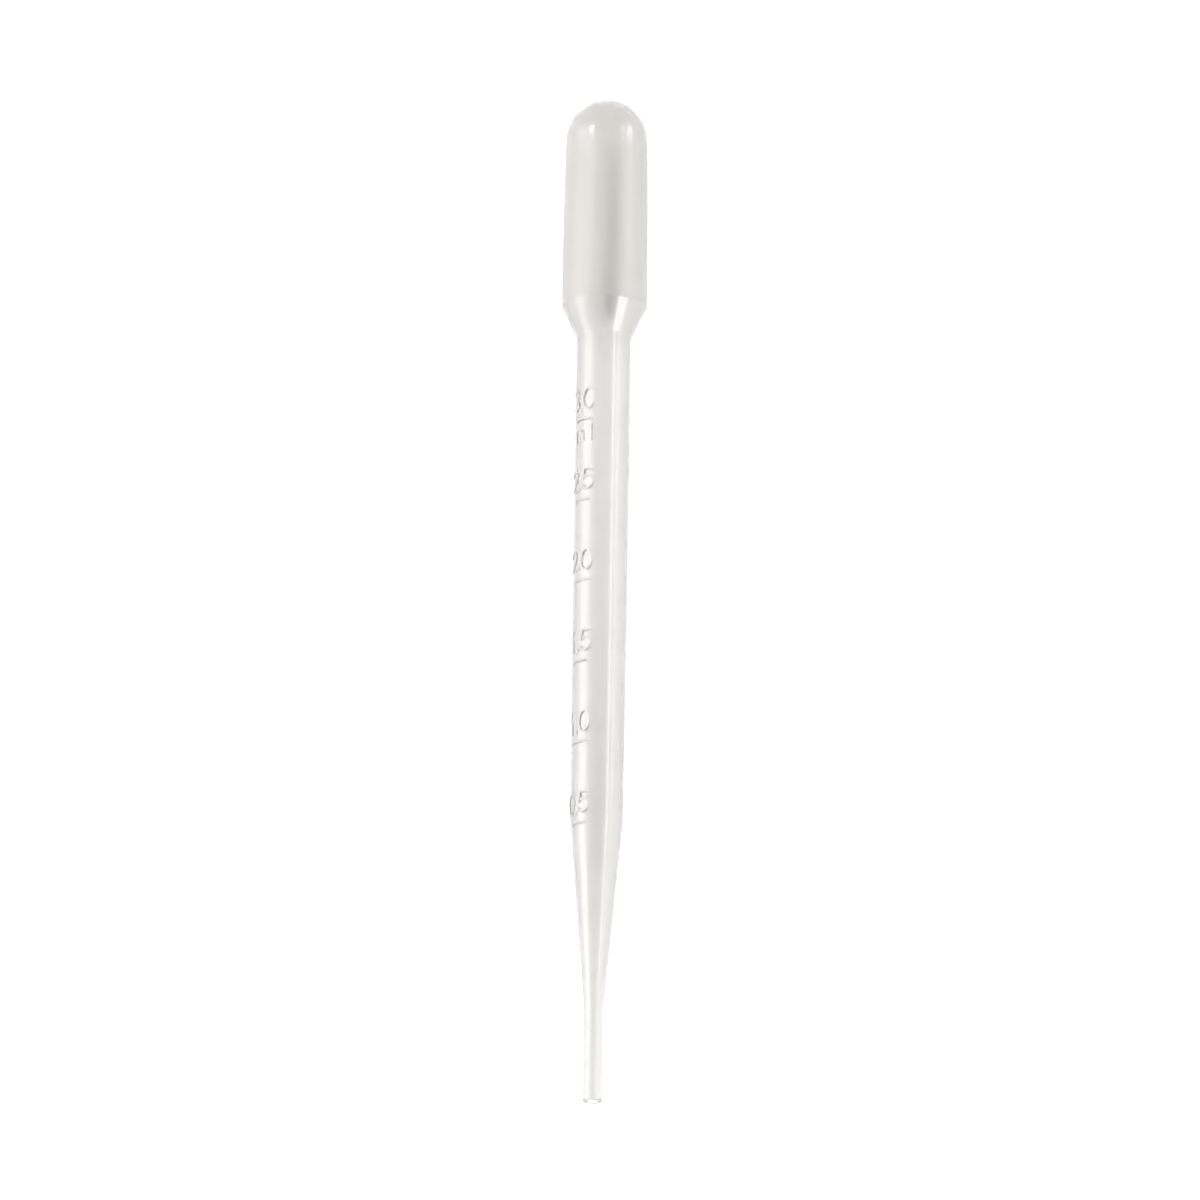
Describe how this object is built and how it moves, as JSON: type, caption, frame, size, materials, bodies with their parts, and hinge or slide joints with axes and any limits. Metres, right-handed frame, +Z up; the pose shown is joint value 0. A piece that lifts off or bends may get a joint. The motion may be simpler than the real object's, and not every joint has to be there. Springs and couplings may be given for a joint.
{
  "type": "dropper pipette",
  "caption": "Soft clear dropper pipette with a squeeze bulb, a graduated stem and a fine open tip, for drawing up and dripping small amounts of liquid.",
  "frame": {"origin": "on the bench under the middle of the length, as the pipette lies at rest", "axes": "+Y along the pipette from its tip to its bulb, +Z up from the bench"},
  "size_m": [0.0126, 0.155, 0.0131],
  "materials": {
    "polyethylene": "natural translucent polyethylene, satin on the bulb and glossy on the stem"
  },
  "bodies": {
    "root": {"pipette": "polyethylene"}
  },
  "joints": []
}
